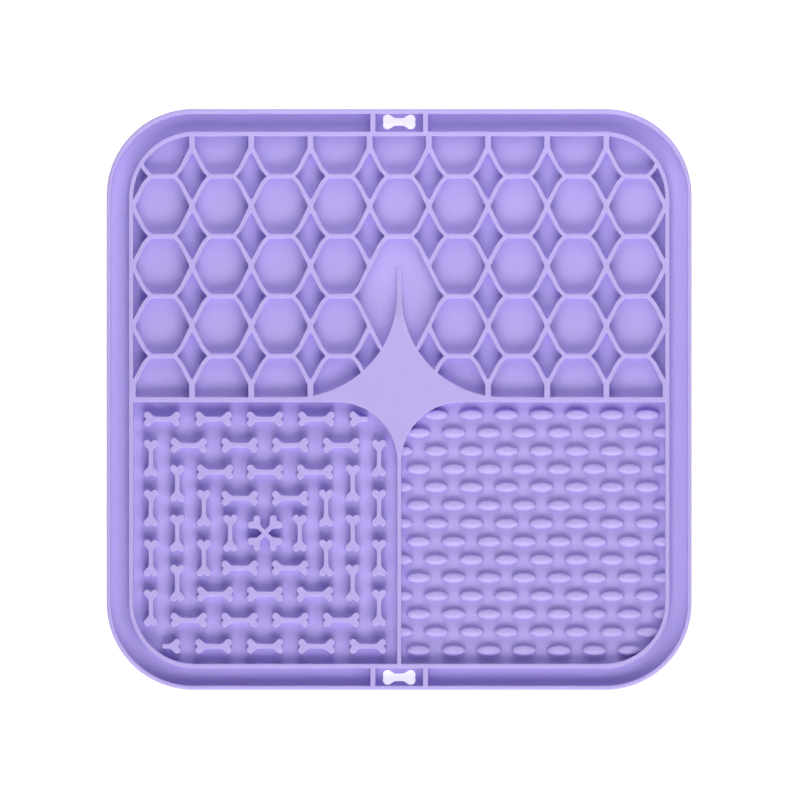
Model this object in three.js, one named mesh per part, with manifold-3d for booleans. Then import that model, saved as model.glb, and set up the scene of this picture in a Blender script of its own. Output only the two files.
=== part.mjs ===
// Lick mat for pet food, moulded in one piece of soft silicone.
// Millimetres, +Z up, +X to the right, +Y towards the honeycomb half. The origin is the middle of
// the flat underside. Every wall, rib and bump stands on one floor and is part of the same body.

import * as THREE from 'three';
import { mergeVertices } from 'three/addons/utils/BufferGeometryUtils.js';
import Module from 'manifold-3d';

const wasm = await Module();
wasm.setup();

// The whole mat
const matWidth = 200;
const matDepth = 198.8;
const matHeight = 7.5;
const floorThickness = 2.2;
const cornerRadius = 29.7;
const rimThickness = 1.35;
const rimBevel = 0.4;
const arcSteps = 6;

// The inner wall, which leaves a gutter between itself and the rim
const wallInset = 8.3;
const wallThickness = 1.4;
const wallCornerRadius = 21;

// The hanging tabs: a stretch of the gutter between two cross walls, with a bone-shaped hole
const crossWallOffset = 9;
const crossWallThickness = 1.75;
const tabSides = [1, -1];

// The two dividers and the four-pointed plateau where they meet
const middleDividerThickness = 1.6;
const lowerDividerThickness = 1.45;
const spikeThickness = 1.8;
const spikeTipY = 46;
const spikeRampLength = 17;
const spikeRampEnd = 45.8;
const upperStarRadius = 34.9;
const lowerStarRadius = 22.2;

// The honeycomb, drawn through the middles of its ribs. Flat ribs lie above and below each cell, in
// flatRows rows, and the row archFlatRow, counted from 0, closes the arch round the spike.
const cellPitchX = 20.23;
const cellPitchY = 20.42;
const lowestFlatY = 15;
const flatRows = 4;
const columnsEachSide = 4;
const archFlatRow = 2;
const flatHalfLength = 4.07;
const bendOut = 2.2;
const bendDrop = 2.5;
const ribThickness = 1.4;
const crossingHalfHeight = 0.55;
const crossingThickness = 2;
const stubThickness = 1.6;

// The raised bones of the lower left field, and the bone-shaped holes of the tabs. Each size is
// given for one quarter of the outline; lobeEnd is where a lobe's arc gives way to the end notch.
const lobeStartDegrees = 135;
const raisedBone = {
  lobeAlong: 5.15, lobeAcross: 1.37, lobeRadius: 1.25, lobeEnd: -50, lobeSteps: 2,
  shaftHalf: 0.78, webStart: 2.9, notch: 5.3,
};
const crossedBone = {
  lobeAlong: 5.5, lobeAcross: 1.5, lobeRadius: 1.25, lobeEnd: -50, lobeSteps: 2,
  shaftHalf: 0.78, webStart: 3.1, notch: 5.6,
};
const boneHole = {
  lobeAlong: 3.95, lobeAcross: 0.9, lobeRadius: 1.6, lobeEnd: -25, lobeSteps: 4,
  shaftHalf: 1.27, webStart: 1.6, notch: 5.3,
};
const boneHeight = 4.9;
const boneCentreX = -45.9;
const boneCentreY = -45.6;
const uprightPitch = 17.06;
const uprightDegrees = 90;
const crossedDegrees = 45;
const turnedRoundDegrees = 180;

// Square rings of bones round the crossed pair: how far each side is from the middle, and the
// spacing of the bones along its upper and lower sides
const boneRings = [
  { reach: 11.9, levelPitch: 17.2 },
  { reach: 20.9, levelPitch: 17.1 },
  { reach: 30.0, levelPitch: 17.4 },
  { reach: 39.0, levelPitch: 17.6 },
];

// The oval bumps of the lower right field, in rows that are staggered by half a pitch
const bumpLength = 8.3;
const bumpWidth = 3.8;
const bumpHeight = 2.9;
const bumpTopScale = 0.85;
const bumpSides = 8;
const bumpPitchX = 12.02;
const bumpPitchY = 6.18;
const bumpRows = 14;
const bumpsPerRow = 8;
const firstBumpX = 0.6;
const firstBumpY = -5.2;

// How far a cutting or joined solid runs past the face that it cuts or joins, and how much of a
// wall's half thickness is left beyond the end of a bump that runs into it
const overlap = 0.5;
const wallCore = 0.2;

// Worked out from the sizes above
const quarterTurn = Math.PI / 2;
const innerFace = wallInset + wallThickness / 2;
const outerFace = wallInset - wallThickness / 2;
const gutterMiddleY = matDepth / 2 - (rimThickness + outerFace) / 2;
const pocketTop = matHeight + overlap;
const crossingInset = (crossingThickness - ribThickness) / 2;
const stubInset = (stubThickness - ribThickness) / 2;

function closedSolid(geometry) {
  geometry.deleteAttribute('normal');
  geometry.deleteAttribute('uv');
  const merged = mergeVertices(geometry);
  const mesh = new wasm.Mesh({
    numProp: 3,
    vertProperties: new Float32Array(merged.attributes.position.array),
    triVerts: new Uint32Array(merged.index.array),
  });
  return new wasm.Manifold(mesh);
}

function prism(shape, bottom, top) {
  const geometry = new THREE.ExtrudeGeometry(shape, {
    depth: top - bottom,
    bevelEnabled: false,
    curveSegments: arcSteps,
  });
  return closedSolid(geometry.translate(0, 0, bottom));
}

function polygon(corners) {
  return new THREE.Shape(corners.map(([x, y]) => new THREE.Vector2(x, y)));
}

// A rectangle with round corners, whose sides lie inset from the edge of the mat
function roundedOutline(inset, radius) {
  const x = matWidth / 2 - inset - radius;
  const y = matDepth / 2 - inset - radius;
  const shape = new THREE.Shape();
  shape.absarc(x, y, radius, 0, quarterTurn);
  shape.absarc(-x, y, radius, quarterTurn, 2 * quarterTurn);
  shape.absarc(-x, -y, radius, 2 * quarterTurn, 3 * quarterTurn);
  shape.absarc(x, -y, radius, 3 * quarterTurn, 4 * quarterTurn);
  shape.closePath();
  return shape;
}

// Moves each side of a counterclockwise polygon inwards and returns the new corners
function insetPolygon(corners, distance) {
  const count = corners.length;
  return corners.map(([x, y], index) => {
    const [previousX, previousY] = corners[(index + count - 1) % count];
    const [nextX, nextY] = corners[(index + 1) % count];
    const before = new THREE.Vector2(x - previousX, y - previousY).normalize();
    const after = new THREE.Vector2(nextX - x, nextY - y).normalize();
    const share = distance / (1 + before.dot(after));
    return [x - share * (before.y + after.y), y + share * (before.x + after.x)];
  });
}

// The slab with its rounded rim
function slab() {
  const geometry = new THREE.ExtrudeGeometry(roundedOutline(0, cornerRadius), {
    depth: matHeight - 2 * rimBevel,
    bevelThickness: rimBevel,
    bevelSize: rimBevel,
    bevelOffset: -rimBevel,
    bevelSegments: 1,
    curveSegments: arcSteps,
  });
  return closedSolid(geometry.translate(0, 0, rimBevel));
}

// The gutter between the rim and the inner wall, with the cross walls left standing in it
function gutter() {
  const inside = roundedOutline(rimThickness, cornerRadius - rimThickness);
  const wall = roundedOutline(outerFace, wallCornerRadius + wallThickness / 2);
  let ring = prism(inside, floorThickness, pocketTop)
    .subtract(prism(wall, floorThickness - overlap, pocketTop + overlap));
  const length = outerFace - rimThickness + 2 * overlap;
  const height = 2 * matHeight;
  for (const tabSide of tabSides) {
    for (const side of [-1, 1]) {
      const wallBox = new THREE.BoxGeometry(crossWallThickness, length, height);
      wallBox.translate(side * crossWallOffset, tabSide * gutterMiddleY, height / 2);
      ring = ring.subtract(closedSolid(wallBox));
    }
  }
  return ring;
}

// The dividers with the four-pointed plateau, reaching past the inner wall on three sides. Each
// of their faces lies thinner by the given amount.
function dividers(thinner) {
  const reach = matWidth / 2;
  const level = middleDividerThickness / 2 - thinner;
  const upright = lowerDividerThickness / 2 - thinner;
  const spike = spikeThickness / 2 - thinner;
  const upperRadius = upperStarRadius + thinner;
  const lowerRadius = lowerStarRadius + thinner;
  const upperX = spike + upperRadius;
  const upperY = level + upperRadius;
  const lowerX = upright + lowerRadius;
  const lowerY = -level - lowerRadius;
  const shape = new THREE.Shape();
  shape.moveTo(-reach, -level);
  shape.lineTo(-reach, level);
  shape.absarc(-upperX, upperY, upperRadius, -quarterTurn, 0);
  shape.lineTo(-spike, spikeTipY);
  shape.lineTo(spike, spikeTipY);
  shape.absarc(upperX, upperY, upperRadius, 2 * quarterTurn, 3 * quarterTurn);
  shape.lineTo(reach, level);
  shape.lineTo(reach, -level);
  shape.absarc(lowerX, lowerY, lowerRadius, quarterTurn, 2 * quarterTurn);
  shape.lineTo(upright, -reach);
  shape.lineTo(-upright, -reach);
  shape.absarc(-lowerX, lowerY, lowerRadius, 0, quarterTurn);
  shape.closePath();
  return prism(shape, -overlap, pocketTop + overlap);
}

// The three fields inside the inner wall, from one height to another. Their outlines lie wider by
// the given amount, which is how far a bump that a wall cuts through goes into that wall.
function fields(bottom, top, wider) {
  const radius = wallCornerRadius - wallThickness / 2 + wider;
  const inside = roundedOutline(innerFace - wider, radius);
  return prism(inside, bottom, top).subtract(dividers(wider));
}

// Cuts the end of the spike down in a ramp that runs out on the floor
function spikeRamp() {
  const start = spikeRampEnd - spikeRampLength;
  const end = spikeTipY + overlap;
  const drop = (matHeight - floorThickness) / spikeRampLength;
  const profile = polygon([
    [start - overlap, matHeight + drop * overlap],
    [end, floorThickness - drop * (end - spikeRampEnd)],
    [end, matHeight + drop * overlap],
  ]);
  const geometry = new THREE.ExtrudeGeometry(profile, {
    depth: spikeThickness + 2 * overlap,
    bevelEnabled: false,
  });
  geometry.translate(0, 0, -spikeThickness / 2 - overlap);
  const along = new THREE.Vector3(0, 1, 0);
  const up = new THREE.Vector3(0, 0, 1);
  const across = new THREE.Vector3(1, 0, 0);
  geometry.applyMatrix4(new THREE.Matrix4().makeBasis(along, up, across));
  const floorAndUp = new THREE.BoxGeometry(matWidth, matDepth, matHeight);
  floorAndUp.translate(0, 0, floorThickness + matHeight / 2);
  return closedSolid(geometry).intersect(closedSolid(floorAndUp));
}

// One side of a cell from its right-hand crossing round to its left-hand one. A closed side bends
// in to a flat rib; an open one runs straight on, to be ended by the inner wall or the divider.
function cellSide(closed) {
  const crossingX = cellPitchX / 2 - crossingInset;
  const stubX = cellPitchX / 2 - stubInset;
  const flatY = cellPitchY / 2;
  const half = closed
    ? [
      [crossingX, crossingHalfHeight],
      [flatHalfLength + bendOut, flatY - bendDrop],
      [flatHalfLength, flatY],
    ]
    : [[stubX, cellPitchY]];
  const otherHalf = half.map(([x, y]) => [-x, y]).reverse();
  return [...half, ...otherHalf];
}

function cellCorners(closedAbove, closedBelow) {
  const below = cellSide(closedBelow).map(([x, y]) => [-x, -y]);
  return [...cellSide(closedAbove), ...below];
}

// The space between four cells, pointed above and below and drawn in at its sides
function diamondCorners() {
  const tip = cellPitchY / 2 - crossingHalfHeight;
  const bendX = cellPitchX / 2 - flatHalfLength - bendOut;
  const sideX = cellPitchX / 2 - flatHalfLength;
  return [
    [sideX, 0], [bendX, bendDrop], [0, tip], [-bendX, bendDrop],
    [-sideX, 0], [-bendX, -bendDrop], [0, -tip], [bendX, -bendDrop],
  ];
}

// The large cell round the spike: two cells and two diamonds with the ribs between them left out
function archCorners(topFlatY) {
  const crossingX = cellPitchX / 2;
  const upperCrossing = topFlatY - cellPitchY / 2;
  const lowerCrossing = upperCrossing - cellPitchY;
  const widest = topFlatY - cellPitchY;
  const bend = flatHalfLength + bendOut;
  const half = [
    [flatHalfLength, topFlatY - 2 * cellPitchY],
    [bend, topFlatY - 2 * cellPitchY + bendDrop],
    [crossingX, lowerCrossing],
    [cellPitchX - bend, widest - bendDrop],
    [cellPitchX - flatHalfLength, widest],
    [cellPitchX - bend, widest + bendDrop],
    [crossingX, upperCrossing],
    [bend, topFlatY - bendDrop],
    [flatHalfLength, topFlatY],
  ];
  const otherHalf = half.map(([x, y]) => [-x, y]).reverse();
  return [...half, ...otherHalf];
}

function pocket(corners, x, y) {
  const shape = polygon(insetPolygon(corners, ribThickness / 2));
  return prism(shape, floorThickness, pocketTop).translate([x, y, 0]);
}

function honeycombPockets() {
  const pockets = [];
  for (let column = -columnsEachSide; column <= columnsEachSide; column += 1) {
    for (let row = 0; row <= flatRows; row += 1) {
      const closedBelow = row > 0;
      const closedAbove = row < flatRows;
      const inArch = column === 0 && row <= archFlatRow;
      const y = lowestFlatY + (row - 0.5) * cellPitchY;
      if (!inArch) {
        pockets.push(pocket(cellCorners(closedAbove, closedBelow), column * cellPitchX, y));
      }
    }
  }
  for (let gap = -columnsEachSide - 1; gap <= columnsEachSide; gap += 1) {
    for (let row = 0; row < flatRows; row += 1) {
      const x = (gap + 0.5) * cellPitchX;
      const inArch = Math.abs(x) < cellPitchX && row === archFlatRow - 1;
      if (!inArch) {
        pockets.push(pocket(diamondCorners(), x, lowestFlatY + row * cellPitchY));
      }
    }
  }
  const archTopY = lowestFlatY + archFlatRow * cellPitchY;
  pockets.push(pocket(archCorners(archTopY), 0, 0));
  return wasm.Manifold.union(pockets);
}

// The corners of one end of a bone, from its upper web round both lobes to its lower web
function boneEnd(size) {
  const upper = [[size.webStart, size.shaftHalf]];
  for (let step = 0; step <= size.lobeSteps; step += 1) {
    const turn = (size.lobeEnd - lobeStartDegrees) * (step / size.lobeSteps);
    const angle = THREE.MathUtils.degToRad(lobeStartDegrees + turn);
    upper.push([
      size.lobeAlong + size.lobeRadius * Math.cos(angle),
      size.lobeAcross + size.lobeRadius * Math.sin(angle),
    ]);
  }
  const lower = upper.map(([x, y]) => [x, -y]).reverse();
  return [...upper, [size.notch, 0], ...lower];
}

function boneCorners(size) {
  const right = boneEnd(size);
  return [...right, ...right.map(([x, y]) => [-x, -y])];
}

// A bone whose other half is left off, cut square through the middle of its shaft
function halfBoneCorners(size) {
  return [[0, size.shaftHalf], ...boneEnd(size), [0, -size.shaftHalf]];
}

function bone(corners, x, y, degrees) {
  const top = floorThickness + boneHeight;
  return prism(polygon(corners), floorThickness - overlap, top)
    .rotate([0, 0, degrees])
    .translate([boneCentreX + x, boneCentreY + y, 0]);
}

function bones() {
  const full = boneCorners(raisedBone);
  const half = halfBoneCorners(raisedBone);
  const crossed = boneCorners(crossedBone);
  const placed = [bone(crossed, 0, 0, crossedDegrees), bone(crossed, 0, 0, -crossedDegrees)];
  boneRings.forEach(({ reach, levelPitch }, index) => {
    const uprights = index + 1;
    const levels = index + 2;
    const outermost = index === boneRings.length - 1;
    for (let place = 0; place < uprights; place += 1) {
      const y = (place - (uprights - 1) / 2) * uprightPitch;
      placed.push(bone(full, -reach, y, uprightDegrees));
      placed.push(bone(full, reach, y, uprightDegrees));
    }
    for (let place = 0; place < levels; place += 1) {
      const x = (place - (levels - 1) / 2) * levelPitch;
      const cutAbove = outermost && place === levels - 1;
      const cutBelow = outermost && place === 0;
      placed.push(bone(cutAbove ? half : full, x, reach, cutAbove ? turnedRoundDegrees : 0));
      placed.push(bone(cutBelow ? half : full, x, -reach, 0));
    }
  });
  return wasm.Manifold.union(placed);
}

function bumps() {
  const placed = [];
  const bottom = floorThickness - overlap;
  const height = bumpHeight + overlap;
  for (let row = 0; row < bumpRows; row += 1) {
    const stagger = (row % 2) * (bumpPitchX / 2);
    for (let place = 0; place < bumpsPerRow; place += 1) {
      const geometry = new THREE.CylinderGeometry(bumpTopScale, 1, height, bumpSides);
      geometry.rotateX(Math.PI / 2);
      geometry.scale(bumpLength / 2, bumpWidth / 2, 1);
      geometry.translate(
        firstBumpX + stagger + place * bumpPitchX,
        firstBumpY - row * bumpPitchY,
        bottom + height / 2,
      );
      placed.push(closedSolid(geometry));
    }
  }
  return wasm.Manifold.union(placed);
}

function hangingHoles() {
  const shape = polygon(boneCorners(boneHole));
  return wasm.Manifold.union(tabSides.map((side) => (
    prism(shape, -overlap, floorThickness + overlap).translate([0, side * gutterMiddleY, 0])
  )));
}

// A box as wide and deep as the mat, far taller than it, with its middle at the given place
function coveringBox(x, y) {
  const height = 4 * matHeight;
  const geometry = new THREE.BoxGeometry(matWidth, matDepth, height);
  return closedSolid(geometry.translate(x, y, 0));
}

// The bones and bumps, ended by the walls and dividers that run through them
function raisedShapes() {
  const rightHalf = coveringBox(matWidth / 2, 0);
  const intoWalls = wallThickness / 2 - wallCore;
  return bones()
    .add(bumps().intersect(rightHalf))
    .intersect(fields(floorThickness - overlap, pocketTop, intoWalls));
}

// Everything between the inner wall and the dividers that food can fill
function pockets() {
  const lowerHalf = coveringBox(0, -matDepth / 2);
  return honeycombPockets()
    .add(lowerHalf)
    .intersect(fields(floorThickness, pocketTop, 0));
}

function matSolid() {
  return slab()
    .subtract(gutter())
    .subtract(pockets())
    .subtract(spikeRamp())
    .add(raisedShapes())
    .subtract(hangingHoles());
}

function matGeometry() {
  const { vertProperties, triVerts } = matSolid().getMesh();
  const geometry = new THREE.BufferGeometry();
  geometry.setAttribute('position', new THREE.BufferAttribute(vertProperties, 3));
  geometry.setIndex(new THREE.BufferAttribute(triVerts, 1));
  geometry.computeVertexNormals();
  return geometry;
}

const silicone = new THREE.MeshStandardMaterial({
  color: 0xb3a0ee,
  roughness: 0.5,
  metalness: 0,
});

const lickMat = new THREE.Group();
const mat = new THREE.Mesh(matGeometry(), silicone);
mat.name = 'mat';
lickMat.add(mat);

export default lickMat;
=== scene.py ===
# %% [markdown]
# # A moulded lick mat, cell by cell
# The object is one flat piece of soft silicone, pressed in a mould: a rim, a gutter, a field of
# honeycomb pockets, a field of raised bones and a field of oval bumps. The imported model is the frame
# for all of it. It is loaded first, because it gives the true size that every later shape must keep.

# %% Load the frame
import math

import bmesh
import bpy
from mathutils import Matrix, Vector
from mathutils.geometry import delaunay_2d_cdt


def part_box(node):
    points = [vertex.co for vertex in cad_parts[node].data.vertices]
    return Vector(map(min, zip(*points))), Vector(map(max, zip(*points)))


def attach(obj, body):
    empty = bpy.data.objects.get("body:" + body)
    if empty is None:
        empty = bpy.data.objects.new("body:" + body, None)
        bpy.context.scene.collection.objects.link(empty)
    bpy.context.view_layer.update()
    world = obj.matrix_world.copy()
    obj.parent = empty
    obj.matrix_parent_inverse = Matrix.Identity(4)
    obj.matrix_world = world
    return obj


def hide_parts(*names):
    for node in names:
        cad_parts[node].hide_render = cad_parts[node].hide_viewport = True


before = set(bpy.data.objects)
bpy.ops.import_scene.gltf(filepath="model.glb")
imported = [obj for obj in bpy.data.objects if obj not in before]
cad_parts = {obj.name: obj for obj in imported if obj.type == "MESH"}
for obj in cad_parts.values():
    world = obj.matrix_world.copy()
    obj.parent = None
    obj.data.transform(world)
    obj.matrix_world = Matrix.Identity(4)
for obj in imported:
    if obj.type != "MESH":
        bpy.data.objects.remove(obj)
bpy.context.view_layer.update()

mm = 0.001
mat_low, mat_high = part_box("mat")
mat_width = (mat_high[0] - mat_low[0]) / mm
mat_depth = (mat_high[1] - mat_low[1]) / mm
mat_top = mat_high[2] / mm
print(f"The mat is {mat_width:.1f} by {mat_depth:.1f} by {mat_top:.1f} mm")

# %% [markdown]
# # The camera
# The mat is seen from straight above, and its far and near walls lean neither way, so the view has no
# perspective. An orthographic camera gives that: its scale is simply how many metres the picture
# shows from side to side. It is made first, because everything is judged through it.

# %% The camera
picture_side = 800
pixel = 0.3419 * mm
mat_middle_pixel = (399.2, 399.6)
camera_height = 1.0


def add_object(name, data):
    """A new object for a mesh, a light or a camera, linked to the scene."""
    new_object = bpy.data.objects.new(name, data)
    bpy.context.scene.collection.objects.link(new_object)
    return new_object


camera_data = bpy.data.cameras.new("camera")
camera_data.type = "ORTHO"
camera_data.ortho_scale = picture_side * pixel
camera = add_object("camera", camera_data)
camera.location = (
    (picture_side / 2 - mat_middle_pixel[0]) * pixel,
    (mat_middle_pixel[1] - picture_side / 2) * pixel,
    camera_height,
)
bpy.context.scene.camera = camera
print(f"The picture shows {camera_data.ortho_scale / mm:.1f} mm from side to side")

# %% [markdown]
# # Outlines with round corners
# Every feature of a moulded part is an outline that runs up or down, and no corner of it is sharp,
# because the mould was cut with a round tool. Bezier curves could hold these outlines, but then their
# points would not match from one height to the next. Here an outline is a short list of corners, each
# with the radius of its rounding, and one function turns it into points. The same function also moves
# the sides in or out, which is how a wall gets its slant and its rounded foot and edge.
#
# All shapes are made in millimetres, because Blender's mesh tools lose their grip on details of a
# tenth of a millimetre when these are tiny fractions of a metre. The finished mat is scaled down once.

# %% Points round an outline
smallest_radius = 0.03


def inset_corner(before, here, after, inset):
    """Where a corner goes when its two sides move to the left by inset, the direction of its first
    side, and its turn. The last two are in radians."""
    first = math.atan2(here[1] - before[1], here[0] - before[0])
    second = math.atan2(after[1] - here[1], after[0] - here[0])
    turn = (second - first + math.pi) % (2 * math.pi) - math.pi
    middle = first + turn / 2
    reach = inset / math.cos(turn / 2)
    place = (here[0] - reach * math.sin(middle), here[1] + reach * math.cos(middle))
    return place, first, turn


def outline_points(corners, inset, steps):
    """The points round a counterclockwise outline. A corner is (x, y, radius), and one whose radius
    is None stays a single point."""
    points = []
    count = len(corners)
    for index, here in enumerate(corners):
        before = corners[index - 1]
        after = corners[(index + 1) % count]
        (x, y), first, turn = inset_corner(before, here, after, inset)
        if here[2] is None:
            points.append((x, y))
            continue
        side = 1 if turn > 0 else -1
        radius = max(here[2] - side * inset, smallest_radius)
        back = radius * math.tan(abs(turn) / 2)
        start_x = x - back * math.cos(first)
        start_y = y - back * math.sin(first)
        centre_x = start_x - side * radius * math.sin(first)
        centre_y = start_y + side * radius * math.cos(first)
        for step in range(steps + 1):
            angle = first + turn * step / steps
            points.append((
                centre_x + side * radius * math.sin(angle),
                centre_y - side * radius * math.cos(angle),
            ))
    return points


def arc_corners(centre, radius, start_degrees, end_degrees, steps):
    """Corners along an arc, without a rounding of their own."""
    corners = []
    for step in range(steps + 1):
        angle = math.radians(start_degrees + (end_degrees - start_degrees) * step / steps)
        corners.append((
            centre[0] + radius * math.cos(angle),
            centre[1] + radius * math.sin(angle),
            None,
        ))
    return corners


def mirrored(corners):
    """The same corners on the other side of the Y axis, in the order that closes the outline."""
    return [(-x, y, radius) for x, y, radius in reversed(corners)]


def rotated(corners, degrees):
    """The same corners turned counterclockwise about the origin."""
    cosine = math.cos(math.radians(degrees))
    sine = math.sin(math.radians(degrees))
    return [(cosine * x - sine * y, sine * x + cosine * y, radius) for x, y, radius in corners]


# %% [markdown]
# # Walls with a rounded foot and edge
# A mould leaves a small fillet where a wall meets the floor and rounds the wall's upper edge. The
# Bevel modifier could add both at the end, but it stumbles where many ribs meet. So each wall is
# lofted: the outline is repeated at a list of heights, each time moved in or out a little, and the
# rings are joined with faces. A hollow and a raised shape need the same list, turned round.
#
# The walls also lean a little, which is called the draft, so that the mat slips out of its mould. A
# hollow reaches a clearance above the mat that it is cut from, and a raised shape reaches down into its
# floor. Level faces that would share a height are kept one sink apart, so that every cut is clean.

# %% Profiles and lofts
round_steps = 3
corner_steps = 4
draft = 0.06
foot_radius = 0.25
edge_radius = 0.17
clearance = 1.0
sink = 0.01


def quarter_angles():
    """The angles of the steps round a quarter circle."""
    return [math.pi / 2 * step / round_steps for step in range(round_steps + 1)]


def hollow_profile(bottom, top, foot=foot_radius, edge=edge_radius):
    """(inset, height) pairs of a space that is cut out, from its floor to above the mat."""
    profile = []
    for angle in quarter_angles():
        slant = draft * (1 - (1 - math.cos(angle)) * foot / (top - bottom))
        profile.append((foot * (1 - math.sin(angle)) + slant, bottom + foot * (1 - math.cos(angle))))
    for angle in quarter_angles():
        profile.append((-edge * (1 - math.cos(angle)), top - edge * (1 - math.sin(angle))))
    profile[-1] = (-edge, top + sink)
    profile.append((-edge, top + clearance))
    return profile


def raised_profile(bottom, top, foot=foot_radius, edge=edge_radius):
    """(inset, height) pairs of a shape that stands on the floor, from inside the floor upwards."""
    profile = [(-foot - draft, bottom - clearance / 2)]
    for angle in quarter_angles():
        profile.append((-foot * (1 - math.sin(angle)) - draft, bottom + foot * (1 - math.cos(angle))))
    profile[1] = (-foot - draft, bottom - sink)
    for angle in quarter_angles():
        profile.append((edge * (1 - math.cos(angle)), top - edge * (1 - math.sin(angle))))
    return profile


def fill_ring(shape, ring):
    """Closes a level ring with triangles that face upwards."""
    places = [vertex.co.to_2d() for vertex in ring]
    outline = list(range(len(ring)))
    inside_only = 1
    tolerance = 0.0
    _, _, triangles, sources, _, _ = delaunay_2d_cdt(places, [], [outline], inside_only, tolerance)
    for triangle in triangles:
        shape.faces.new([ring[sources[corner][0]] for corner in triangle])


def join_rings(shape, rings):
    """Adds the faces from each ring to the one above it."""
    for lower, upper in zip(rings, rings[1:]):
        for index in range(len(lower)):
            following = (index + 1) % len(lower)
            shape.faces.new((lower[index], lower[following], upper[following], upper[index]))


def finish_shape(name, shape):
    """Turns a shape that is being built into an object."""
    shape_mesh = bpy.data.meshes.new(name)
    shape.to_mesh(shape_mesh)
    shape.free()
    return add_object(name, shape_mesh)


def loft(name, corners, profile, steps=corner_steps):
    """A closed mesh object: the outline at each height of the profile, with its two ends filled."""
    shape = bmesh.new()
    rings = []
    for inset, height in profile:
        points = outline_points(corners, inset, steps)
        rings.append([shape.verts.new((x, y, height)) for x, y in points])
    fill_ring(shape, rings[0])
    bmesh.ops.reverse_faces(shape, faces=shape.faces)
    join_rings(shape, rings)
    fill_ring(shape, rings[-1])
    return finish_shape(name, shape)


def box_corners(low_x, low_y, high_x, high_y):
    """The four corners of a box, none of them rounded."""
    return [(low_x, low_y, None), (high_x, low_y, None), (high_x, high_y, None), (low_x, high_y, None)]


# %% [markdown]
# # Joining and cutting
# The real mat has no seams between its features, so its mesh should be one closed skin too. Shapes
# that only overlap would look joined, but would leave hidden walls inside. The Boolean modifier joins
# and cuts whole meshes, and its Manifold solver is quick and exact as long as every shape is closed.
# After each step the result becomes a plain mesh, and the modifier goes.

# %% Joining and cutting
def settle(shape):
    """Makes the result of an object's modifiers its own mesh."""
    depsgraph = bpy.context.evaluated_depsgraph_get()
    result = bpy.data.meshes.new_from_object(shape.evaluated_get(depsgraph))
    shape.modifiers.clear()
    shape.data = result


def combine(shape, operation, tool):
    """Joins, cuts or trims a shape with a tool, which is used up."""
    modifier = shape.modifiers.new("combine", "BOOLEAN")
    modifier.operation = operation
    modifier.solver = "MANIFOLD"
    modifier.object = tool
    settle(shape)
    bpy.data.objects.remove(tool)


# %% [markdown]
# # One tree for everything that repeats
# The pockets, bones and bumps all sit in rows, and every second row of bumps is shifted by half a
# pitch. An Array modifier can't shift every second row, so a Geometry Nodes tree does it: it lays out
# one point for each copy, works out row and column from the point's number, and puts the shape there.
# Its sizes are named inputs, so the same tree serves every field. It ends in Realize Instances,
# because a Boolean and an export need real faces, and in Set Material, which gives them their finish.

# %% The tree that sets out rows
def maths(tree, operation, first, second=0.0):
    """Adds a Math node whose values are sockets or plain numbers, and returns its result."""
    node = tree.nodes.new("ShaderNodeMath")
    node.operation = operation
    for socket, value in zip(node.inputs, (first, second)):
        if isinstance(value, bpy.types.NodeSocket):
            tree.links.new(value, socket)
        else:
            socket.default_value = value
    return node.outputs[0]


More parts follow.
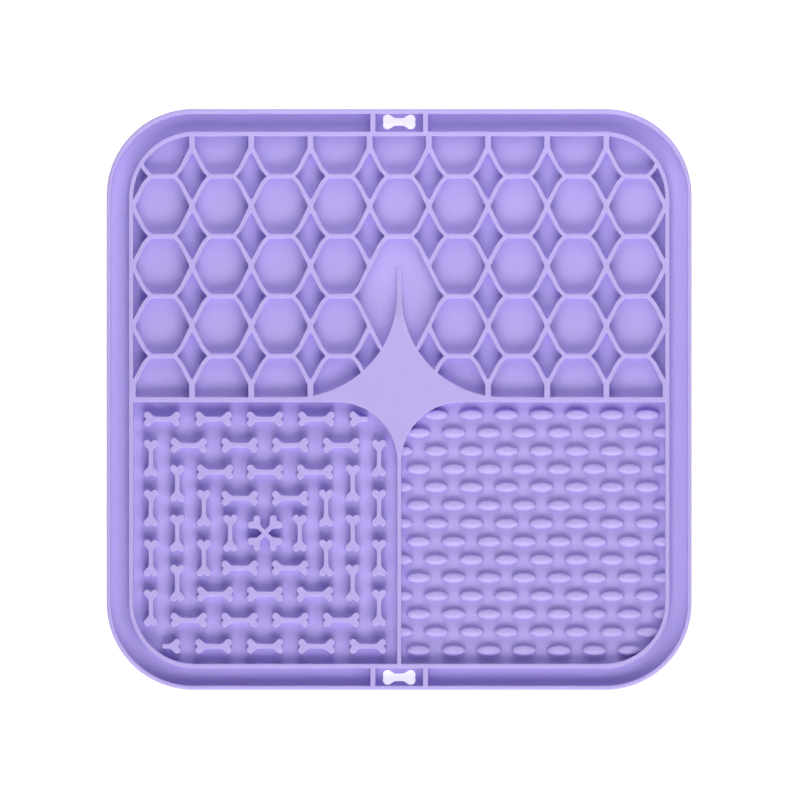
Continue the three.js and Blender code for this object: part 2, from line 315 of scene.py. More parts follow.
def rows_tree():
    """The tree, in which a point's number gives its row and its place in that row."""
    every_second = 2.0
    tree = bpy.data.node_groups.new("Copies in staggered rows", "GeometryNodeTree")
    sockets = (
        ("Geometry", "NodeSocketGeometry"),
        ("Shape", "NodeSocketObject"),
        ("Columns", "NodeSocketInt"),
        ("Rows", "NodeSocketInt"),
        ("Column pitch", "NodeSocketFloat"),
        ("Row pitch", "NodeSocketFloat"),
        ("Stagger", "NodeSocketFloat"),
        ("First place", "NodeSocketVector"),
        ("Turn", "NodeSocketFloat"),
        ("Material", "NodeSocketMaterial"),
    )
    for name, kind in sockets:
        tree.interface.new_socket(name, in_out="INPUT", socket_type=kind)
    tree.interface.new_socket("Geometry", in_out="OUTPUT", socket_type="NodeSocketGeometry")
    given = tree.nodes.new("NodeGroupInput").outputs
    link = tree.links.new

    index = tree.nodes.new("GeometryNodeInputIndex").outputs[0]
    row = maths(tree, "FLOOR", maths(tree, "DIVIDE", index, given["Columns"]))
    column = maths(tree, "SUBTRACT", index, maths(tree, "MULTIPLY", row, given["Columns"]))
    shift = maths(tree, "MULTIPLY", maths(tree, "MODULO", row, every_second), given["Stagger"])
    along = maths(tree, "ADD", maths(tree, "MULTIPLY", column, given["Column pitch"]), shift)
    across = maths(tree, "MULTIPLY", row, given["Row pitch"])

    place = tree.nodes.new("ShaderNodeCombineXYZ")
    link(along, place.inputs["X"])
    link(across, place.inputs["Y"])
    from_first = tree.nodes.new("ShaderNodeVectorMath")
    link(place.outputs[0], from_first.inputs[0])
    link(given["First place"], from_first.inputs[1])

    points = tree.nodes.new("GeometryNodeMeshLine")
    link(maths(tree, "MULTIPLY", given["Columns"], given["Rows"]), points.inputs["Count"])
    set_out = tree.nodes.new("GeometryNodeSetPosition")
    link(points.outputs[0], set_out.inputs["Geometry"])
    link(from_first.outputs[0], set_out.inputs["Position"])

    shape = tree.nodes.new("GeometryNodeObjectInfo")
    link(given["Shape"], shape.inputs["Object"])
    angles = tree.nodes.new("ShaderNodeCombineXYZ")
    link(given["Turn"], angles.inputs["Z"])
    turn = tree.nodes.new("FunctionNodeEulerToRotation")
    link(angles.outputs[0], turn.inputs[0])
    copies = tree.nodes.new("GeometryNodeInstanceOnPoints")
    link(set_out.outputs[0], copies.inputs["Points"])
    link(shape.outputs["Geometry"], copies.inputs["Instance"])
    link(turn.outputs[0], copies.inputs["Rotation"])

    together = tree.nodes.new("GeometryNodeJoinGeometry")
    link(given["Geometry"], together.inputs[0])
    link(copies.outputs[0], together.inputs[0])
    realized = tree.nodes.new("GeometryNodeRealizeInstances")
    link(together.outputs[0], realized.inputs["Geometry"])
    coloured = tree.nodes.new("GeometryNodeSetMaterial")
    link(realized.outputs[0], coloured.inputs["Geometry"])
    link(given["Material"], coloured.inputs["Material"])
    link(coloured.outputs[0], tree.nodes.new("NodeGroupOutput").inputs[0])
    return tree


set_out_rows = rows_tree()
silicone = bpy.data.materials.new("lavender_silicone")
print(f"The tree has {len(set_out_rows.nodes)} nodes")

# %% [markdown]
# # Using the tree
# A modifier knows its inputs by identifiers, not by the names that a person reads, so a small helper
# looks each identifier up. Each call adds one block of rows to an empty holder object, and settle
# then turns the whole stack into a mesh.

# %% Blocks of copies
def empty_holder(name):
    """An object without faces, to which blocks of rows are added."""
    return add_object(name, bpy.data.meshes.new(name))


def add_rows(holder, shape, first, columns=1, rows=1, pitch=(0.0, 0.0), stagger=0.0, degrees=0.0):
    """Adds a block of copies of a shape, of which the first lies at this place."""
    modifier = holder.modifiers.new("rows", "NODES")
    modifier.node_group = set_out_rows
    values = {
        "Shape": shape,
        "Columns": columns,
        "Rows": rows,
        "Column pitch": pitch[0],
        "Row pitch": pitch[1],
        "Stagger": stagger,
        "First place": (first[0], first[1], 0.0),
        "Turn": math.radians(degrees),
        "Material": silicone,
    }
    for item in set_out_rows.interface.items_tree:
        if item.in_out == "INPUT" and item.name in values:
            modifier[item.identifier] = values[item.name]


def finish_rows(holder, *shapes):
    """Settles a holder and removes the shapes that it copied."""
    settle(holder)
    for shape in shapes:
        bpy.data.objects.remove(shape)
    print(f"{holder.name} has {len(holder.data.polygons)} faces")


# %% [markdown]
# # The slab
# The mould's outside gives a flat slab with large round corners. A box with a Bevel modifier could
# make it, but a loft also rounds the upper and the lower edge, each by its own radius. The upper edge
# is the rim's outer edge, and in the photo it catches the light over two pixels, so it is rounded more
# than the other edges. The underside is plain.

# %% The slab
corner_radius = 29.7
corner_arc_steps = 28
rim_round = 0.55
underside_round = 0.3


def mat_outline(inset, radius, near_extra=0.0, far_extra=0.0):
    """The mat's outline, moved in to one of its walls, with that wall's corner radius. The extras
    move its near and far sides further in."""
    x = mat_width / 2 - inset
    near = -mat_depth / 2 + inset + near_extra
    far = mat_depth / 2 - inset - far_extra
    return [(x, near, radius), (x, far, radius), (-x, far, radius), (-x, near, radius)]


slab_profile = [
    (underside_round * (1 - math.sin(angle)), underside_round * (1 - math.cos(angle)))
    for angle in quarter_angles()
]
slab_profile += [
    (rim_round * (1 - math.cos(angle)), mat_top - rim_round * (1 - math.sin(angle)))
    for angle in quarter_angles()
]
mat = loft("silicone_mat", mat_outline(0.0, corner_radius), slab_profile, corner_arc_steps)
print(f"The slab has {len(mat.data.polygons)} faces")

# %% [markdown]
# # The gutter and the hanging tabs
# The gutter catches what runs over the inner wall. It is one ring-shaped hollow. A profile could be
# swept along a curve, but the easier way to a ring is to loft its outside as a hollow and then take
# the inner block away from it, which rounds both of its edges. Two pairs of cross walls close off the
# tabs that the mat can hang by.
#
# The rim is a few tenths of a millimetre wider on its near and far sides, and the inner wall's far
# side lies a little further in. The three extras give that.

# %% The gutter
floor_top = 2.2
rim_width = 1.3
rim_near_extra = 0.2
rim_far_extra = 0.35
wall_inset = 8.3
wall_far_extra = 0.25
wall_width = 1.45
wall_corner_radius = 21.8
cross_wall_offset = 9
cross_wall_width = 1.75


def wall_outline(inset):
    """The middle line of the inner wall, moved inwards."""
    return mat_outline(wall_inset + inset, wall_corner_radius - inset, far_extra=wall_far_extra)


gutter = loft(
    "gutter",
    mat_outline(rim_width, corner_radius - rim_width, rim_near_extra, rim_far_extra),
    hollow_profile(floor_top, mat_top),
    corner_arc_steps,
)
# The profile of what is taken away from the hollow, and so stays standing
kept_wall = raised_profile(floor_top, mat_top + sink) + [(edge_radius, mat_top + 2 * clearance)]
inner_block = loft("inner_block", wall_outline(-wall_width / 2), kept_wall, corner_arc_steps)
combine(gutter, "DIFFERENCE", inner_block)

gutter_middle = (wall_inset - wall_width / 2 + rim_width) / 2
gutter_width = wall_inset - wall_width / 2 - rim_width
half_x = cross_wall_width / 2
half_y = gutter_width / 2 + clearance / 2
for end in (1, -1):
    for side in (1, -1):
        x = side * cross_wall_offset
        y = end * (mat_depth / 2 - gutter_middle)
        corners = box_corners(x - half_x, y - half_y, x + half_x, y + half_y)
        combine(gutter, "DIFFERENCE", loft("cross_wall", corners, kept_wall))
combine(mat, "DIFFERENCE", gutter)
print(f"With its gutter, the mat has {len(mat.data.polygons)} faces")

# %% [markdown]
# # The dividers and the star
# Inside the inner wall lies one large hollow, parted by a level divider and an upright one. Where
# they meet, four arcs widen them into a smooth four-pointed plateau, and its upper point runs on as a
# thin spike that slopes down to the floor. Four arcs and straight lines make the outline. A slanted
# cut could make the slope, but would leave sharp edges. Lowering the finished loft's points keeps the
# spike's edges round all the way down. Its tip goes a little below the floor, so no film is left.

# %% The dividers and the star
level_divider_width = 1.65
upright_divider_width = 1.4
spike_width = 1.8
spike_tip = 46
slope_start = 28.8
slope_end = 45.8
upper_star_radius = 34.9
lower_star_radius = 20.5
star_arc_steps = 36
spike_points = 14
below_floor_share = -0.03


def divider_corners():
    """The corners round both dividers, the star and the spike."""
    reach = mat_width / 2
    level = level_divider_width / 2
    upright = upright_divider_width / 2
    spike = spike_width / 2
    upper_centre = (spike + upper_star_radius, level + upper_star_radius)
    lower_centre = (upright + lower_star_radius, -level - lower_star_radius)
    spike_side = [
        (spike, upper_centre[1] + (spike_tip - upper_centre[1]) * point / spike_points, None)
        for point in range(1, spike_points + 1)
    ]
    lower_right = arc_corners(lower_centre, lower_star_radius, 180, 90, star_arc_steps)
    upper_right = arc_corners(upper_centre, upper_star_radius, 270, 180, star_arc_steps)
    right_half = [(upright, -reach, None)] + lower_right
    right_half += [(reach, -level, None), (reach, level, None)] + upper_right + spike_side
    return right_half + mirrored(right_half)


def lower_the_spike(shape):
    """Lowers the spike from the height of the walls to the floor."""
    for vertex in shape.data.vertices:
        place = vertex.co
        share = (slope_end - place.y) / (slope_end - slope_start)
        share = min(1.0, max(below_floor_share, share))
        if place.z > floor_top:
            place.z = floor_top + (place.z - floor_top) * share


fields_profile = hollow_profile(floor_top, mat_top)
fields = loft("fields", wall_outline(wall_width / 2), fields_profile, corner_arc_steps)
dividers = loft("dividers", divider_corners(), raised_profile(floor_top, mat_top + sink))
lower_the_spike(dividers)
combine(fields, "DIFFERENCE", dividers)
print(f"The three fields have {len(fields.data.polygons)} faces")

# %% [markdown]
# # The honeycomb
# The upper field is a net of ribs, but what the mould really has is a block for each pocket, and the
# ribs are the grooves between the blocks. The ribs could be swept along curves, yet their crossings
# would never be clean. So the blocks are made: a six-sided cell, two cells that run on into a wall, a
# diamond, and the arch-shaped one round the spike. The tree sets them out in rows, and they are
# trimmed to the field and cut out.
#
# A cell has a flat at its top and its bottom. From the ends of a flat the ribs bend outwards, and they
# run to the crossing, where two cells of a row meet. A straight stub of rib parts two open cells.

# %% Corners of the cells
cell_pitch_x = 20.24
cell_pitch_y = 20.48
lowest_flat = 14.97
columns_each_side = 4
flat_rows = 4
arch_flat_row = 2
flat_half = 4.07
bend_out = 2.2
bend_drop = 2.5
rib_width = 1.36
crossing_half = 0.55
crossing_width = 2.0
stub_width = 2.0

flat_corner_radius = 1.6
bend_radius = 9
crossing_radius = 0.9
diamond_tip_radius = 1.05
diamond_side_radius = 1.1

crossing_x = (cell_pitch_x - crossing_width + rib_width) / 2
stub_x = (cell_pitch_x - stub_width + rib_width) / 2
bend_x = flat_half + bend_out
flat_y = cell_pitch_y / 2
print(f"The cells lie {cell_pitch_x} mm apart across and {cell_pitch_y} mm apart along")


def closed_side():
    """The corners round the upper half of a cell, from its right crossing to its left one."""
    half = [
        (crossing_x, crossing_half, crossing_radius),
        (bend_x, flat_y - bend_drop, bend_radius),
        (flat_half, flat_y, flat_corner_radius),
    ]
    return half + mirrored(half)


def open_side():
    """The same for a cell that runs straight on into a wall."""
    half = [(stub_x, lowest_flat - flat_y, None)]
    return half + mirrored(half)


def diamond_corners():
    """The corners round the pocket between four cells."""
    tip = cell_pitch_y / 2 - crossing_half
    side = cell_pitch_x / 2 - flat_half
    bend = cell_pitch_x / 2 - bend_x
    upper = [
        (side, 0.0, diamond_side_radius),
        (bend, bend_drop, bend_radius),
        (0.0, tip, diamond_tip_radius),
        (-bend, bend_drop, bend_radius),
    ]
    return upper + rotated(upper, 180)


def arch_corners():
    """The large pocket round the spike: two cells and two diamonds with no ribs between them."""
    top_flat = lowest_flat + arch_flat_row * cell_pitch_y
    widest = top_flat - cell_pitch_y
    half = [
        (flat_half, top_flat - 2 * cell_pitch_y, None),
        (bend_x, top_flat - 2 * cell_pitch_y + bend_drop, None),
        (cell_pitch_x / 2, widest - cell_pitch_y / 2, None),
        (cell_pitch_x - bend_x, widest - bend_drop, bend_radius),
        (cell_pitch_x - flat_half, widest, diamond_side_radius),
        (cell_pitch_x - bend_x, widest + bend_drop, bend_radius),
        (cell_pitch_x / 2, widest + cell_pitch_y / 2, None),
        (bend_x, top_flat - bend_drop, bend_radius),
        (flat_half, top_flat, flat_corner_radius),
    ]
    return half + mirrored(half)


# %% [markdown]
# # Cutting the honeycomb
# The corners above lie on the middles of the ribs, so each pocket's profile starts half a rib further
# in. The blocks of rows leave a gap in the middle column, where the arch-shaped pocket goes.

# %% Cut the honeycomb
def pocket(name, corners):
    """The block of a pocket, whose corners lie on the middles of its ribs."""
    profile = [
        (inset + rib_width / 2, height) for inset, height in hollow_profile(floor_top, mat_top)
    ]
    return loft(name, corners, profile)


full_cell = pocket("full_cell", closed_side() + rotated(closed_side(), 180))
low_cell = pocket("low_cell", closed_side() + rotated(open_side(), 180))
high_cell = pocket("high_cell", open_side() + rotated(closed_side(), 180))
diamond = pocket("diamond", diamond_corners())

pockets = empty_holder("pockets")
cell_pitch = (cell_pitch_x, cell_pitch_y)
row_middle = [lowest_flat + (row - 0.5) * cell_pitch_y for row in range(flat_rows + 1)]
for first_column in (-columns_each_side, 1):
    x = first_column * cell_pitch_x
    add_rows(pockets, low_cell, (x, row_middle[0]), columns_each_side, 1, cell_pitch)
    add_rows(pockets, full_cell, (x, row_middle[1]), columns_each_side, flat_rows - 1, cell_pitch)
    add_rows(pockets, high_cell, (x, row_middle[-1]), columns_each_side, 1, cell_pitch)
add_rows(pockets, full_cell, (0.0, row_middle[arch_flat_row + 1]))
add_rows(pockets, high_cell, (0.0, row_middle[-1]))

diamond_columns = 2 * columns_each_side + 2
for row in range(flat_rows):
    y = lowest_flat + row * cell_pitch_y
    x = -(columns_each_side + 0.5) * cell_pitch_x
    if row == arch_flat_row - 1:
        add_rows(pockets, diamond, (x, y), columns_each_side, 1, cell_pitch)
        add_rows(pockets, diamond, (1.5 * cell_pitch_x, y), columns_each_side, 1, cell_pitch)
    else:
        add_rows(pockets, diamond, (x, y), diamond_columns, 1, cell_pitch)
arch = pocket("arch", arch_corners())
add_rows(pockets, arch, (0.0, 0.0))
finish_rows(pockets, full_cell, low_cell, high_cell, diamond, arch)

upper_field = add_object("upper_field", fields.data.copy())
combine(upper_field, "INTERSECT", pockets)
combine(mat, "DIFFERENCE", upper_field)

lower_half = loft(
    "lower_half",
    box_corners(-mat_width, -mat_depth, mat_width, 0.0),
    [(0.0, 0.0), (0.0, mat_top + 2 * clearance)],
)
combine(fields, "INTERSECT", lower_half)
combine(mat, "DIFFERENCE", fields)
print(f"With its pockets, the mat has {len(mat.data.polygons)} faces")

# %% [markdown]
# # The bones
# The lower left field holds small bones round a crossed pair. A bone is two round lobes at each end of
# a thin shaft. Balls and a rod melted together would be round on top, but these bones are flat, so the
# outline is drawn, with four arcs and a few corners, and lofted. The half bone ends in the middle of
# its shaft, and the crossed pair is four bone ends round one middle.

# %% The bones
bone_height = 4.9
bone_top = floor_top + bone_height
bone_foot = 0.2
bone_edge = 0.14
bone_corner_steps = 3
lobe_steps = 9
lobe_start = 135
lobe_end = -50

raised_bone = {
    "lobe_along": 5.05, "lobe_across": 1.32, "lobe_radius": 1.2,
    "shaft_half": 0.76, "web_start": 2.9, "web_radius": 2.0, "notch": 5.45,
}
crossed_bone = {
    "lobe_along": 5.4, "lobe_across": 1.47, "lobe_radius": 1.2,
    "shaft_half": 0.76, "web_start": 3.1, "web_radius": 2.0, "notch": 5.75,
}
notch_radius = 0.12
crotch_radius = 0.15
shaft_end_radius = 0.55


def bone_end(size, last_angle=lobe_end):
    """The corners round the right-hand end of a bone, from its lower web to its upper one."""
    centre = (size["lobe_along"], size["lobe_across"])
    lobe = arc_corners(centre, size["lobe_radius"], last_angle, lobe_start, lobe_steps)
    upper = lobe + [(size["web_start"], size["shaft_half"], size["web_radius"])]
    lower = [(x, -y, radius) for x, y, radius in reversed(upper)]
    return lower + [(size["notch"], 0.0, notch_radius)] + upper


def bone(name, corners):
    """A raised shape with a bone's height and edges."""
    profile = raised_profile(floor_top, bone_top, bone_foot, bone_edge)
    return loft(name, corners, profile, bone_corner_steps)


raised_end = bone_end(raised_bone)
full_bone = bone("full_bone", raised_end + rotated(raised_end, 180))
shaft_end = [
    (0.0, raised_bone["shaft_half"], shaft_end_radius),
    (0.0, -raised_bone["shaft_half"], shaft_end_radius),
]
half_bone = bone("half_bone", raised_end + shaft_end)

crossed_end = bone_end(crossed_bone)
crotch = (math.sqrt(2) * crossed_bone["shaft_half"], 0.0, crotch_radius)
crossed_corners = []
for degrees in (45, 135, 225, 315):
    crossed_corners += rotated(crossed_end, degrees) + rotated([crotch], degrees + 45)
crossed_pair = bone("crossed_pair", crossed_corners)
print(f"One bone has {len(full_bone.data.polygons)} faces")

# %% [markdown]
# # Setting out the bones
# The bones stand in four square rings. A ring has one bone more on each side than the ring inside it,
# and one more on its level sides than on its upright ones, because the level sides take the corners.
# Nearly fifty bones could be placed one by one, but the rows tree sets out a whole side at a time. At
# two corners of the outermost ring the real mat has only half a bone.

# %% Set out the bones
bone_centre = (-45.9, -45.6)
upright_pitch = 17.06

# How far each ring of bones lies from the crossed pair on three sides, how far it lies from it on the
# near side, and the spacing along its level sides
bone_rings = [
    {"reach": 11.9, "near_reach": 11.9, "level_pitch": 17.25},
    {"reach": 20.9, "near_reach": 20.85, "level_pitch": 17.05},
    {"reach": 30.0, "near_reach": 29.75, "level_pitch": 17.38},
    {"reach": 39.0, "near_reach": 38.7, "level_pitch": 17.58},
]

bones = empty_holder("bones")
for number, ring in enumerate(bone_rings):
    uprights = number + 1
    levels = number + 2
    reach = ring["reach"]
    pitch = (ring["level_pitch"], upright_pitch)
    lowest = bone_centre[1] - (uprights - 1) / 2 * upright_pitch
    leftmost = bone_centre[0] - (levels - 1) / 2 * ring["level_pitch"]
    for side in (-1, 1):
        place = (bone_centre[0] + side * reach, lowest)
        add_rows(bones, full_bone, place, 1, uprights, pitch, degrees=90)
    above = bone_centre[1] + reach
    below = bone_centre[1] - ring["near_reach"]
    if number < len(bone_rings) - 1:
        add_rows(bones, full_bone, (leftmost, above), levels, 1, pitch)
        add_rows(bones, full_bone, (leftmost, below), levels, 1, pitch)
    else:
        rightmost = leftmost + (levels - 1) * ring["level_pitch"]
        add_rows(bones, full_bone, (leftmost, above), levels - 1, 1, pitch)
        add_rows(bones, half_bone, (rightmost, above), degrees=180)
        add_rows(bones, half_bone, (leftmost, below))
        add_rows(bones, full_bone, (leftmost + ring["level_pitch"], below), levels - 1, 1, pitch)
add_rows(bones, crossed_pair, bone_centre)
finish_rows(bones, full_bone, half_bone, crossed_pair)
combine(mat, "UNION", bones)
print(f"With its bones, the mat has {len(mat.data.polygons)} faces")

# %% [markdown]
# # One oval bump
# The lower right field is full of low oval bumps. Each one rises steeply from the floor and is gently
# domed on top. A scaled sphere would be too pointed and too soft at its foot, so the bump is an ellipse
# in plan and a superellipse in height, with a power well above two. Its top lies a little further back
# than its foot.

# %% One oval bump
bump_half_length = 4.25
bump_half_width = 1.66
bump_height = 3.1
bump_power = 4.2
bump_lean = 0.2
bump_points = 24
bump_shares = (1.0, 0.99, 0.96, 0.91, 0.82, 0.68, 0.4)


def oval_bump():
    """A dome in rings, from inside the floor up to its nearly flat top."""
    shape = bmesh.new()
    rings = []
    heights = [floor_top - clearance / 2]
    shares = [1.0]
    for share in bump_shares:
        rise = (1 - share ** bump_power) ** (1 / bump_power)
        heights.append(floor_top + bump_height * rise)
        shares.append(share)
    for share, height in zip(shares, heights):
        ring = []
        lean = bump_lean * max(0.0, height - floor_top) / bump_height
        for point in range(bump_points):
            angle = 2 * math.pi * point / bump_points
            x = bump_half_length * share * math.cos(angle)
            y = bump_half_width * share * math.sin(angle) + lean
            ring.append(shape.verts.new((x, y, height)))
        rings.append(ring)
    shape.faces.new(list(reversed(rings[0])))
    join_rings(shape, rings)
    crown = shape.verts.new((0.0, bump_lean, floor_top + bump_height))
    for index in range(bump_points):
        shape.faces.new((rings[-1][index], rings[-1][(index + 1) % bump_points], crown))
    return finish_shape("bump", shape)


bump = oval_bump()
print(f"One bump has {len(bump.data.polygons)} faces")

# %% [markdown]
# # Setting out the bumps
# There are fourteen staggered rows of bumps, and the outer ones run into the walls. Each of those could
# be shaped by hand, but it is easier to let the tree fill more than the field and to trim the bumps
# with a slightly widened copy of the field.

# %% Set out the bumps
bump_pitch = (12.02, -6.195)
first_bump = (0.6, -5.29)
bump_rows = 14
bumps_per_row = 8
into_wall = 0.5

bumps = empty_holder("bumps")
add_rows(bumps, bump, first_bump, bumps_per_row, bump_rows, bump_pitch, stagger=bump_pitch[0] / 2)
finish_rows(bumps, bump)

bump_bed = loft(
    "bump_bed",
    wall_outline(wall_width / 2 - into_wall),
    [(0.0, clearance), (0.0, mat_top - clearance)],
    corner_arc_steps,
)
thin_dividers = loft("thin_dividers", divider_corners(), [(into_wall, 0.0), (into_wall, mat_top)])
combine(bump_bed, "DIFFERENCE", thin_dividers)
right_quarter = loft(
    "right_quarter",
    box_corners(0.0, -mat_depth, mat_width, 0.0),
    [(0.0, -clearance), (0.0, mat_top + clearance)],
)
combine(bump_bed, "INTERSECT", right_quarter)
combine(bumps, "INTERSECT", bump_bed)
combine(mat, "UNION", bumps)
print(f"With its bumps, the mat has {len(mat.data.polygons)} faces")

# %% [markdown]
# # The hanging holes
# Each tab has a bone-shaped hole right through the floor. Its lobes are rounder and closer than those
# of the raised bones, but the same function draws its outline, with other sizes. The gutter's hollow
# stops at the floor, so the hole is a cut of its own, and its upper edge is flared a little.

# %% The hanging holes
bone_hole = {
    "lobe_along": 3.95, "lobe_across": 0.9, "lobe_radius": 1.6,
    "shaft_half": 1.27, "web_start": 1.5, "web_radius": 0.8, "notch": 5.35,
}
hole_lobe_end = -20
hole_edge = 0.2
hole_profile = [(0.0, -clearance), (0.0, floor_top - hole_edge), (-hole_edge, floor_top + sink)]
hole_profile.append((-hole_edge, floor_top + clearance))

hole_end = bone_end(bone_hole, hole_lobe_end)
hole = loft("hole", hole_end + rotated(hole_end, 180), hole_profile, bone_corner_steps)
holes = empty_holder("holes")
lower_tab = -mat_depth / 2 + gutter_middle
add_rows(holes, hole, (0.0, lower_tab), 1, 2, (0.0, -2 * lower_tab))
finish_rows(holes, hole)
combine(mat, "DIFFERENCE", holes)
print(f"The finished mat has {len(mat.data.polygons)} faces")

# %% [markdown]
# # Smooth and flat faces
# A moulded part has truly flat floors and tops next to small round edges. If all faces were shaded
# smooth, the large flat ones would pick up the slant of the fillets beside them. So level faces stay
# flat, the others are smooth, and edges that turn sharply are marked, such as the foot of a bump.
# Before that, faces with many corners are cut into triangles, and the mat is scaled down to metres.

# %% Shading
level_limit = 0.9999
sharp_turn = math.radians(38)


def split_large_faces(mesh, most_corners=4):
    """Cuts the many-cornered faces into triangles."""
    shape = bmesh.new()
    shape.from_mesh(mesh)
    large = [face for face in shape.faces if len(face.verts) > most_corners]
    bmesh.ops.triangulate(shape, faces=large, quad_method="BEAUTY", ngon_method="BEAUTY")
    shape.to_mesh(mesh)
    shape.free()


mesh = mat.data
split_large_faces(mesh)
mesh.transform(Matrix.Diagonal((mm, mm, mm, 1.0)))
# This call also makes every face smooth, so the level ones are made flat after it
mesh.set_sharp_from_angle(angle=sharp_turn)
for face in mesh.polygons:
    face.use_smooth = abs(face.normal.z) < level_limit
mesh.materials.clear()
mesh.materials.append(silicone)
triangles = sum(len(face.vertices) - 2 for face in mesh.polygons)
print(f"The mat has {triangles} triangles")

# %% [markdown]
# # The silicone
# Silicone is dyed right through, softly matt and a little waxy: light goes a millimetre or two in,
# which softens the shadows between the ribs. A plain coloured surface would leave them hard, so the
# Principled shader's subsurface part is used. Red, green and blue go nearly equally far in, or the
# shadows would change their colour. A broad, faint noise varies the dye, a fine one varies the
# roughness, and a very fine one raises the satin texture that a blasted mould leaves. All three read
# Object coordinates.

# %% The silicone
dye = (0.522, 0.438, 0.835, 1.0)
deep_dye = (0.512, 0.428, 0.825, 1.0)
roughness_range = (0.46, 0.56)
satin_height = 0.02 * mm
scatter_share = 0.4
scatter_radius = (1.0, 0.85, 1.0)
scatter_depth = 1.5 * mm

# The scale and the detail of each noise
dye_noise = (28, 2.0)
roughness_noise = (160, 3.0)
satin_noise = (900, 4.0)


def noise(tree, coordinates, scale, detail):
    """Adds a Noise Texture node and returns its grey value."""
    node = tree.nodes.new("ShaderNodeTexNoise")
    node.inputs["Scale"].default_value = scale
    node.inputs["Detail"].default_value = detail
    tree.links.new(coordinates, node.inputs["Vector"])
    return node.outputs["Fac"]


def dress_silicone(material):
    """Builds the nodes of the silicone."""
    material.use_nodes = True
    tree = material.node_tree
    shader = tree.nodes["Principled BSDF"]
    coordinates = tree.nodes.new("ShaderNodeTexCoord").outputs["Object"]

    tint = tree.nodes.new("ShaderNodeMix")
    tint.data_type = "RGBA"
    tint.inputs["A"].default_value = deep_dye
    tint.inputs["B"].default_value = dye
    tree.links.new(noise(tree, coordinates, *dye_noise), tint.inputs["Factor"])
    tree.links.new(tint.outputs["Result"], shader.inputs["Base Color"])

    spread = tree.nodes.new("ShaderNodeMapRange")
    spread.inputs["To Min"].default_value = roughness_range[0]
    spread.inputs["To Max"].default_value = roughness_range[1]
    tree.links.new(noise(tree, coordinates, *roughness_noise), spread.inputs["Value"])
    tree.links.new(spread.outputs["Result"], shader.inputs["Roughness"])

    satin = tree.nodes.new("ShaderNodeBump")
    satin.inputs["Distance"].default_value = satin_height
    tree.links.new(noise(tree, coordinates, *satin_noise), satin.inputs["Height"])
    tree.links.new(satin.outputs["Normal"], shader.inputs["Normal"])

    shader.inputs["Subsurface Weight"].default_value = scatter_share
    shader.inputs["Subsurface Radius"].default_value = scatter_radius
    shader.inputs["Subsurface Scale"].default_value = scatter_depth


dress_silicone(silicone)
print(f"The silicone has {len(silicone.node_tree.nodes)} nodes")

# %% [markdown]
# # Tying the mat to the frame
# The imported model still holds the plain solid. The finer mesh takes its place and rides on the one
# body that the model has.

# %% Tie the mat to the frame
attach(mat, "root")
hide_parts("mat")
print(f"{mat.name} stands for the plain solid")

# %% [markdown]
# # The floor
# The photo's ground is pure white, even in the hanging holes, as on a lit white table. A plain
# white sheet would turn grey in the mat's shadow, so the sheet also glows a little. It lies a hair
# below the mat, because two surfaces in one place show through each other in patches.

# %% The floor
floor_half = 1.5
floor_gap = 0.2 * mm
floor_colour = (0.85, 0.85, 0.85, 1.0)
floor_roughness = 0.9
floor_glow = 0.6
white = (1.0, 1.0, 1.0, 1.0)

floor_mesh = bpy.data.meshes.new("floor")
floor_mesh.from_pydata(
    [
        (-floor_half, -floor_half, -floor_gap),
        (floor_half, -floor_half, -floor_gap),
        (floor_half, floor_half, -floor_gap),
        (-floor_half, floor_half, -floor_gap),
    ],
    [],
    [(0, 1, 2, 3)],
)
floor = add_object("floor", floor_mesh)
floor_material = bpy.data.materials.new("white_table")
floor_material.use_nodes = True
floor_shader = floor_material.node_tree.nodes["Principled BSDF"]
floor_shader.inputs["Base Color"].default_value = floor_colour
floor_shader.inputs["Roughness"].default_value = floor_roughness
floor_shader.inputs["Emission Color"].default_value = white
floor_shader.inputs["Emission Strength"].default_value = floor_glow
floor_mesh.materials.append(floor_material)
print(f"The floor is {2 * floor_half:.0f} m wide")

# %% [markdown]
# # The light
# In the lower fields every bone and bump has its shadow on the far side, so the main light stands on
# the near side. It is far away, because the shadows are the same all over the mat, and it is tall. One
# long panel could be that light, but two round lights, a low and a high one, let each height have its
# own strength. A second pair stands to the right of it, and weaker lights stand to the left and at the
# back. Small lights close by make the mat a little brighter towards its far side, as in the photo.
# Standard is used for the colours, because the photo's own are plain.

# %% The light
def soft_light(name, degrees_round, degrees_up, distance, size, power):
    """A round light that faces the mat. At zero degrees round it stands on the near side, at 90 on
    the right."""
    light_data = bpy.data.lights.new(name, "AREA")
    light_data.shape = "DISK"
    light_data.size = size
    light_data.energy = power
    light = add_object(name, light_data)
    round_angle = math.radians(degrees_round)
    up_angle = math.radians(degrees_up)
    light.location = (
        distance * math.sin(round_angle) * math.cos(up_angle),
        -distance * math.cos(round_angle) * math.cos(up_angle),
        distance * math.sin(up_angle),
    )
    light.rotation_euler = (math.pi / 2 - up_angle, 0.0, round_angle)


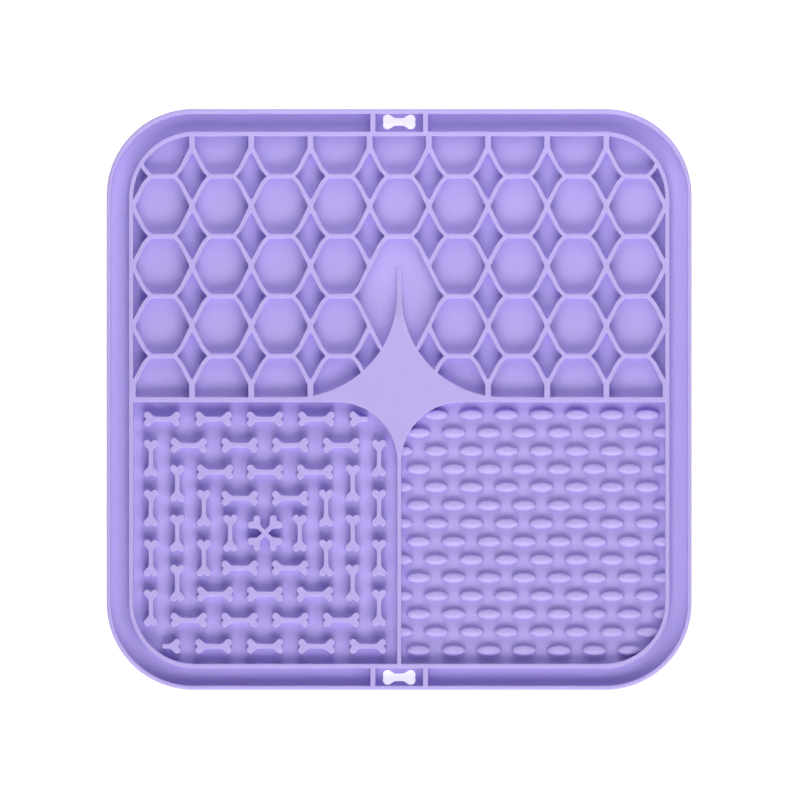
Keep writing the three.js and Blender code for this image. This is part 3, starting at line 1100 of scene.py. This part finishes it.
key_distance = 2.0
key_size = 0.8
tall_key_size = 1.2
near_distance = 0.4
near_size = 0.25

# Each light's name, degrees round, degrees up, distance and size in metres, and power in watts
lights = (
    ("key_low", 0, 15, key_distance, key_size, 11.1),
    ("key_high", 0, 50, key_distance, tall_key_size, 16.0),
    ("right_low", 45, 20, key_distance, key_size, 4.1),
    ("right_high", 45, 45, key_distance, key_size, 6.2),
    ("left", -45, 35, key_distance, key_size, 4.7),
    ("back", 180, 45, key_distance, key_size, 2.7),
    ("near_side", 0, 55, near_distance, near_size, 0.14),
    ("far_side_low", 180, 25, near_distance, near_size, 0.28),
    ("far_side_high", 180, 55, near_distance, near_size, 0.31),
    ("far_side_right", 135, 35, near_distance, near_size, 0.12),
)
for light_values in lights:
    soft_light(*light_values)
print(f"{len(lights)} lights stand round the mat")

bpy.context.scene.view_settings.view_transform = "Standard"

# %% [markdown]
# # The surroundings
# Only weak white surroundings fill the shadows, because strong ones would wash out the deep violet of
# the gutter. But a camera that stands low looks past the table, and would see them as a grey band. So
# they are two backgrounds in one: a dim one that lights the mat, and a white one for the camera alone.

# %% The surroundings
lighting_strength = 0.1
seen_strength = 1.0

world = bpy.data.worlds.new("world")
bpy.context.scene.world = world
world.use_nodes = True
world_nodes = world.node_tree.nodes
world_link = world.node_tree.links.new
lighting = world_nodes["Background"]
lighting.inputs["Color"].default_value = white
lighting.inputs["Strength"].default_value = lighting_strength
seen = world_nodes.new("ShaderNodeBackground")
seen.inputs["Color"].default_value = white
seen.inputs["Strength"].default_value = seen_strength
both = world_nodes.new("ShaderNodeMixShader")
world_link(world_nodes.new("ShaderNodeLightPath").outputs["Is Camera Ray"], both.inputs["Fac"])
# Fac is 1 for what the camera sees and 0 for all other light
not_camera, for_camera = both.inputs[1:]
world_link(lighting.outputs["Background"], not_camera)
world_link(seen.outputs["Background"], for_camera)
world_link(both.outputs["Shader"], world_nodes["World Output"].inputs["Surface"])
print(f"The surroundings have {len(world_nodes)} nodes")
